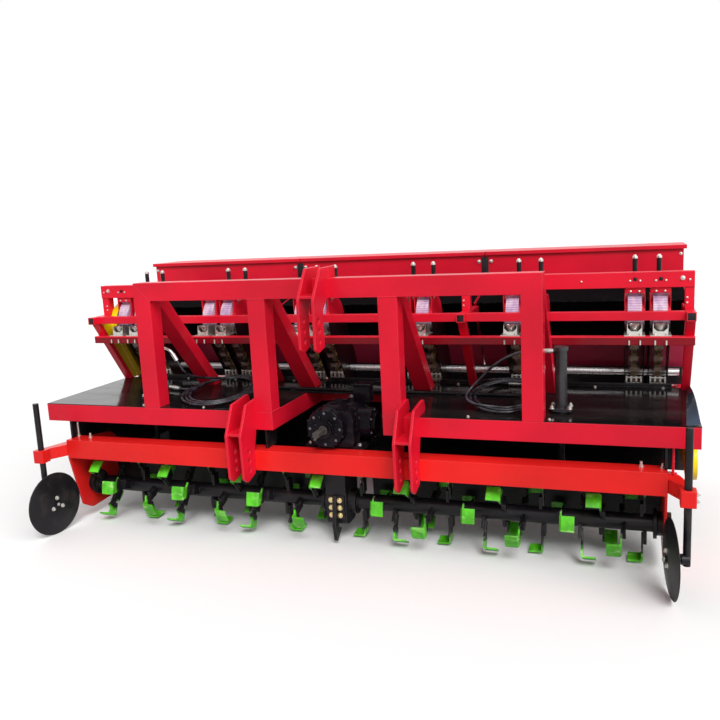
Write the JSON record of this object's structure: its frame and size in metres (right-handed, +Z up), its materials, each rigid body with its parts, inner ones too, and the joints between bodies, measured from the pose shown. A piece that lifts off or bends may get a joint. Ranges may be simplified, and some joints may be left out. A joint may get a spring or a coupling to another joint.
{
  "type": "tractor-mounted garlic planter with rotary tiller",
  "caption": "Wide three-point-hitch garlic planter: rotary tiller in front under a black deck and red gantry, spoon-chain row units, seed hopper, furrow openers and press roller behind",
  "frame": {"origin": "on the ground under the middle of the machine", "axes": "+X runs to the side, along the working width; +Y points to the rear, away from the tractor; +Z up; travel is towards -Y"},
  "size_m": [3.24, 1.7955, 1.3529],
  "materials": {
    "frame_red": "crimson gloss paint on welded steel tube and sheet",
    "tiller_red": "orange-red gloss paint",
    "deck_black": "high-gloss black paint on flat sheet",
    "black_paint": "satin black paint",
    "blade_paint": "black paint with bright green dipped tips",
    "worn_steel": "bare ground-worn steel",
    "zinc": "bright zinc plate",
    "clear_plastic": "clear bent plastic sheet",
    "guard_yellow": "yellow gloss paint",
    "hose_rubber": "black braided hydraulic hose"
  },
  "bodies": {
    "machine": {"centre_drive_case": "black_paint", "centre_point": "worn_steel", "chain_guard_left": "guard_yellow", "chain_guard_right": "guard_yellow", "cylinder_rods": "zinc", "deck_cross_beams": "frame_red", "deck_rails": "frame_red", "deck_sheets": "deck_black", "disc_clamps": "tiller_red", "disc_shanks": "black_paint", "furrow_openers": "worn_steel", "gantry_braces": "frame_red", "gantry_posts": "frame_red", "gantry_top_beam": "frame_red", "gate_rods": "black_paint", "gearbox": "black_paint", "gearbox_cover": "black_paint", "hopper_bin_left": "frame_red", "hopper_bin_middle": "frame_red", "hopper_bin_right": "frame_red", "hose_coil_left": "hose_rubber", "hose_coil_right": "hose_rubber", "hose_lead_left": "hose_rubber", "hose_lead_right": "hose_rubber", "hose_plug_left": "zinc", "hose_plug_right": "zinc", "hose_tail_left": "hose_rubber", "hose_tail_right": "hose_rubber", "lift_cylinders": "black_paint", "lower_hitch": "frame_red", "opener_bar": "black_paint", "rear_beam": "frame_red", "roller_arms": "frame_red", "rotor_hood": "black_paint", "row_brackets": "zinc", "row_covers": "clear_plastic", "row_side_plates": "frame_red", "seed_shaft": "zinc", "seeder_cross_tubes": "frame_red", "seeder_ledge": "frame_red", "seeder_posts": "frame_red", "seeder_rails": "frame_red", "seeder_sills": "frame_red", "seeder_slants": "frame_red", "seeder_top_beam": "frame_red", "spoon_chains": "zinc", "tension_shafts": "zinc", "tiller_beam": "tiller_red", "tiller_mount_plates": "black_paint", "tiller_side_plates": "tiller_red", "upper_hitch": "frame_red"},
    "rotor": {"rotor_tube": "black_paint", "rotor_blades": "blade_paint"},
    "input_drive": {"input_shaft": "worn_steel"},
    "disc_wheel_left": {"disc_left": "black_paint"},
    "disc_wheel_right": {"disc_right": "black_paint"},
    "roller": {"press_roller": "black_paint"},
    "lid_left": {"hopper_lid_left": "frame_red"},
    "lid_middle": {"hopper_lid_middle": "frame_red"},
    "lid_right": {"hopper_lid_right": "frame_red"}
  },
  "joints": [
    {"name": "input_spin", "type": "hinge", "parent": "machine", "child": "input_drive", "pos_m": [-0.02, -0.52219, 0.585], "axis": [0, 1, 0], "continuous": true},
    {"name": "rotor_spin", "type": "hinge", "parent": "machine", "child": "rotor", "pos_m": [0, -0.43219, 0.19], "axis": [1, 0, 0], "continuous": true},
    {"name": "disc_left_spin", "type": "hinge", "parent": "machine", "child": "disc_wheel_left", "pos_m": [-1.49379, -0.73684, 0.165], "axis": [0.989, -0.1478, 0], "continuous": true},
    {"name": "disc_right_spin", "type": "hinge", "parent": "machine", "child": "disc_wheel_right", "pos_m": [1.49379, -0.73684, 0.165], "axis": [0.989, 0.1478, 0], "continuous": true},
    {"name": "roller_spin", "type": "hinge", "parent": "machine", "child": "roller", "pos_m": [0, 0.74781, 0.15], "axis": [1, 0, 0], "continuous": true},
    {"name": "lid_left_hinge", "type": "hinge", "parent": "machine", "child": "lid_left", "pos_m": [-1.086, 0.87981, 1.334], "axis": [-1, 0, 0], "range_deg": [0, 110]},
    {"name": "lid_middle_hinge", "type": "hinge", "parent": "machine", "child": "lid_middle", "pos_m": [0, 0.87981, 1.334], "axis": [-1, 0, 0], "range_deg": [0, 110]},
    {"name": "lid_right_hinge", "type": "hinge", "parent": "machine", "child": "lid_right", "pos_m": [1.086, 0.87981, 1.334], "axis": [-1, 0, 0], "range_deg": [0, 110]}
  ],
  "couplings": [
    {"joint": "input_spin", "follows": "rotor_spin", "ratio": -2.4}
  ]
}
